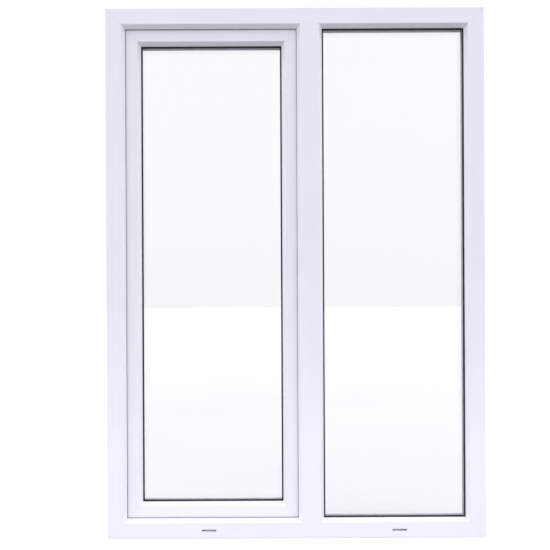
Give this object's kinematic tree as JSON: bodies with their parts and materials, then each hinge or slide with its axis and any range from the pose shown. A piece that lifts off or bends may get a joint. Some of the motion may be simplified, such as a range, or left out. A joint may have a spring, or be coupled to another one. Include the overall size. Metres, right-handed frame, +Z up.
{
  "type": "casement window",
  "caption": "Two-light white PVC-U window: a side-hung casement sash that opens into the room with a lever lock, beside a fixed double-glazed light.",
  "frame": {"origin": "middle of the flat underside of the outer frame's sill", "axes": "+Z up along the window's height, +Y from outdoors into the room, +X to the right of someone looking at it from outside"},
  "size_m": [1, 0.12, 1.4],
  "materials": {
    "white_profile": "smooth satin-gloss white PVC-U",
    "white_bead": "smooth satin-gloss white PVC-U",
    "black_gasket": "matte black elastomer",
    "glass": "clear float glass",
    "edge_sealant": "matte dark polysulphide sealant",
    "bead_seal": "pale grey elastomer",
    "spacer_bar": "roll-formed bright aluminium",
    "glazing_block": "moulded polypropylene",
    "galvanised_steel": "hot-dip galvanised steel",
    "zinc_casting": "plated zinc die casting",
    "plated_screw": "bright zinc plated",
    "white_hardware": "white powder coat",
    "bright_steel": "silver zinc plated steel",
    "hinge_bush": "acetal bush"
  },
  "bodies": {
    "frame": {"frame_head": "white_profile", "frame_sill": "white_profile", "frame_jamb_left": "white_profile", "frame_jamb_right": "white_profile", "mullion": "white_profile", "frame_reinforcement": "galvanised_steel", "mullion_reinforcement": "galvanised_steel", "mullion_connectors": "zinc_casting", "mullion_connector_screws": "plated_screw", "rebate_gasket": "black_gasket", "fixed_pane_outer": "glass", "fixed_pane_inner": "glass", "fixed_edge_sealant": "edge_sealant", "fixed_spacer": "spacer_bar", "fixed_outer_gasket": "black_gasket", "fixed_bead_top": "white_bead", "fixed_bead_bottom": "white_bead", "fixed_bead_left": "white_bead", "fixed_bead_right": "white_bead", "fixed_bead_gasket": "bead_seal", "fixed_glazing_blocks": "glazing_block", "keep_lower": "zinc_casting", "keep_middle": "zinc_casting", "keep_upper": "zinc_casting", "keep_screws": "plated_screw", "hinge_lower_frame_leaf": "white_hardware", "hinge_upper_frame_leaf": "white_hardware", "hinge_frame_screws": "plated_screw", "hinge_pins": "bright_steel"},
    "sash": {"sash_top_rail": "white_profile", "sash_bottom_rail": "white_profile", "sash_hinge_stile": "white_profile", "sash_lock_stile": "white_profile", "sash_reinforcement": "galvanised_steel", "sash_pane_outer": "glass", "sash_pane_inner": "glass", "sash_edge_sealant": "edge_sealant", "sash_spacer": "spacer_bar", "sash_outer_gasket": "black_gasket", "sash_bead_top": "white_bead", "sash_bead_bottom": "white_bead", "sash_bead_hinge": "white_bead", "sash_bead_lock": "white_bead", "sash_bead_gasket": "bead_seal", "sash_glazing_blocks": "glazing_block", "sash_overlap_gasket": "black_gasket", "hinge_lower_sash_leaf": "white_hardware", "hinge_upper_sash_leaf": "white_hardware", "hinge_bushes": "hinge_bush", "hinge_sash_screws": "plated_screw", "lock_faceplate": "bright_steel", "lock_faceplate_screws": "plated_screw", "lock_case": "zinc_casting", "handle_base": "white_hardware", "handle_screws": "plated_screw"},
    "handle": {"handle_lever": "white_hardware", "handle_spindle": "bright_steel", "lock_pinion": "zinc_casting"},
    "rod": {"drive_rod": "bright_steel", "locking_cams": "bright_steel"}
  },
  "joints": [
    {"name": "sash_turn", "type": "hinge", "parent": "frame", "child": "sash", "pos_m": [-0.488, 0.044, 0.7], "axis": [0, 0, 1], "range_deg": [0, 100]},
    {"name": "handle_turn", "type": "hinge", "parent": "sash", "child": "handle", "pos_m": [-0.00006, 0.049, 0.7], "axis": [0, -1, 0], "range_deg": [0, 180]},
    {"name": "rod_slide", "type": "slide", "parent": "sash", "child": "rod", "axis": [0, 0, 1], "range_m": [0, 0.02356]}
  ],
  "couplings": [
    {"joint": "rod_slide", "follows": "handle_turn", "m_per_rad": 0.0075}
  ]
}
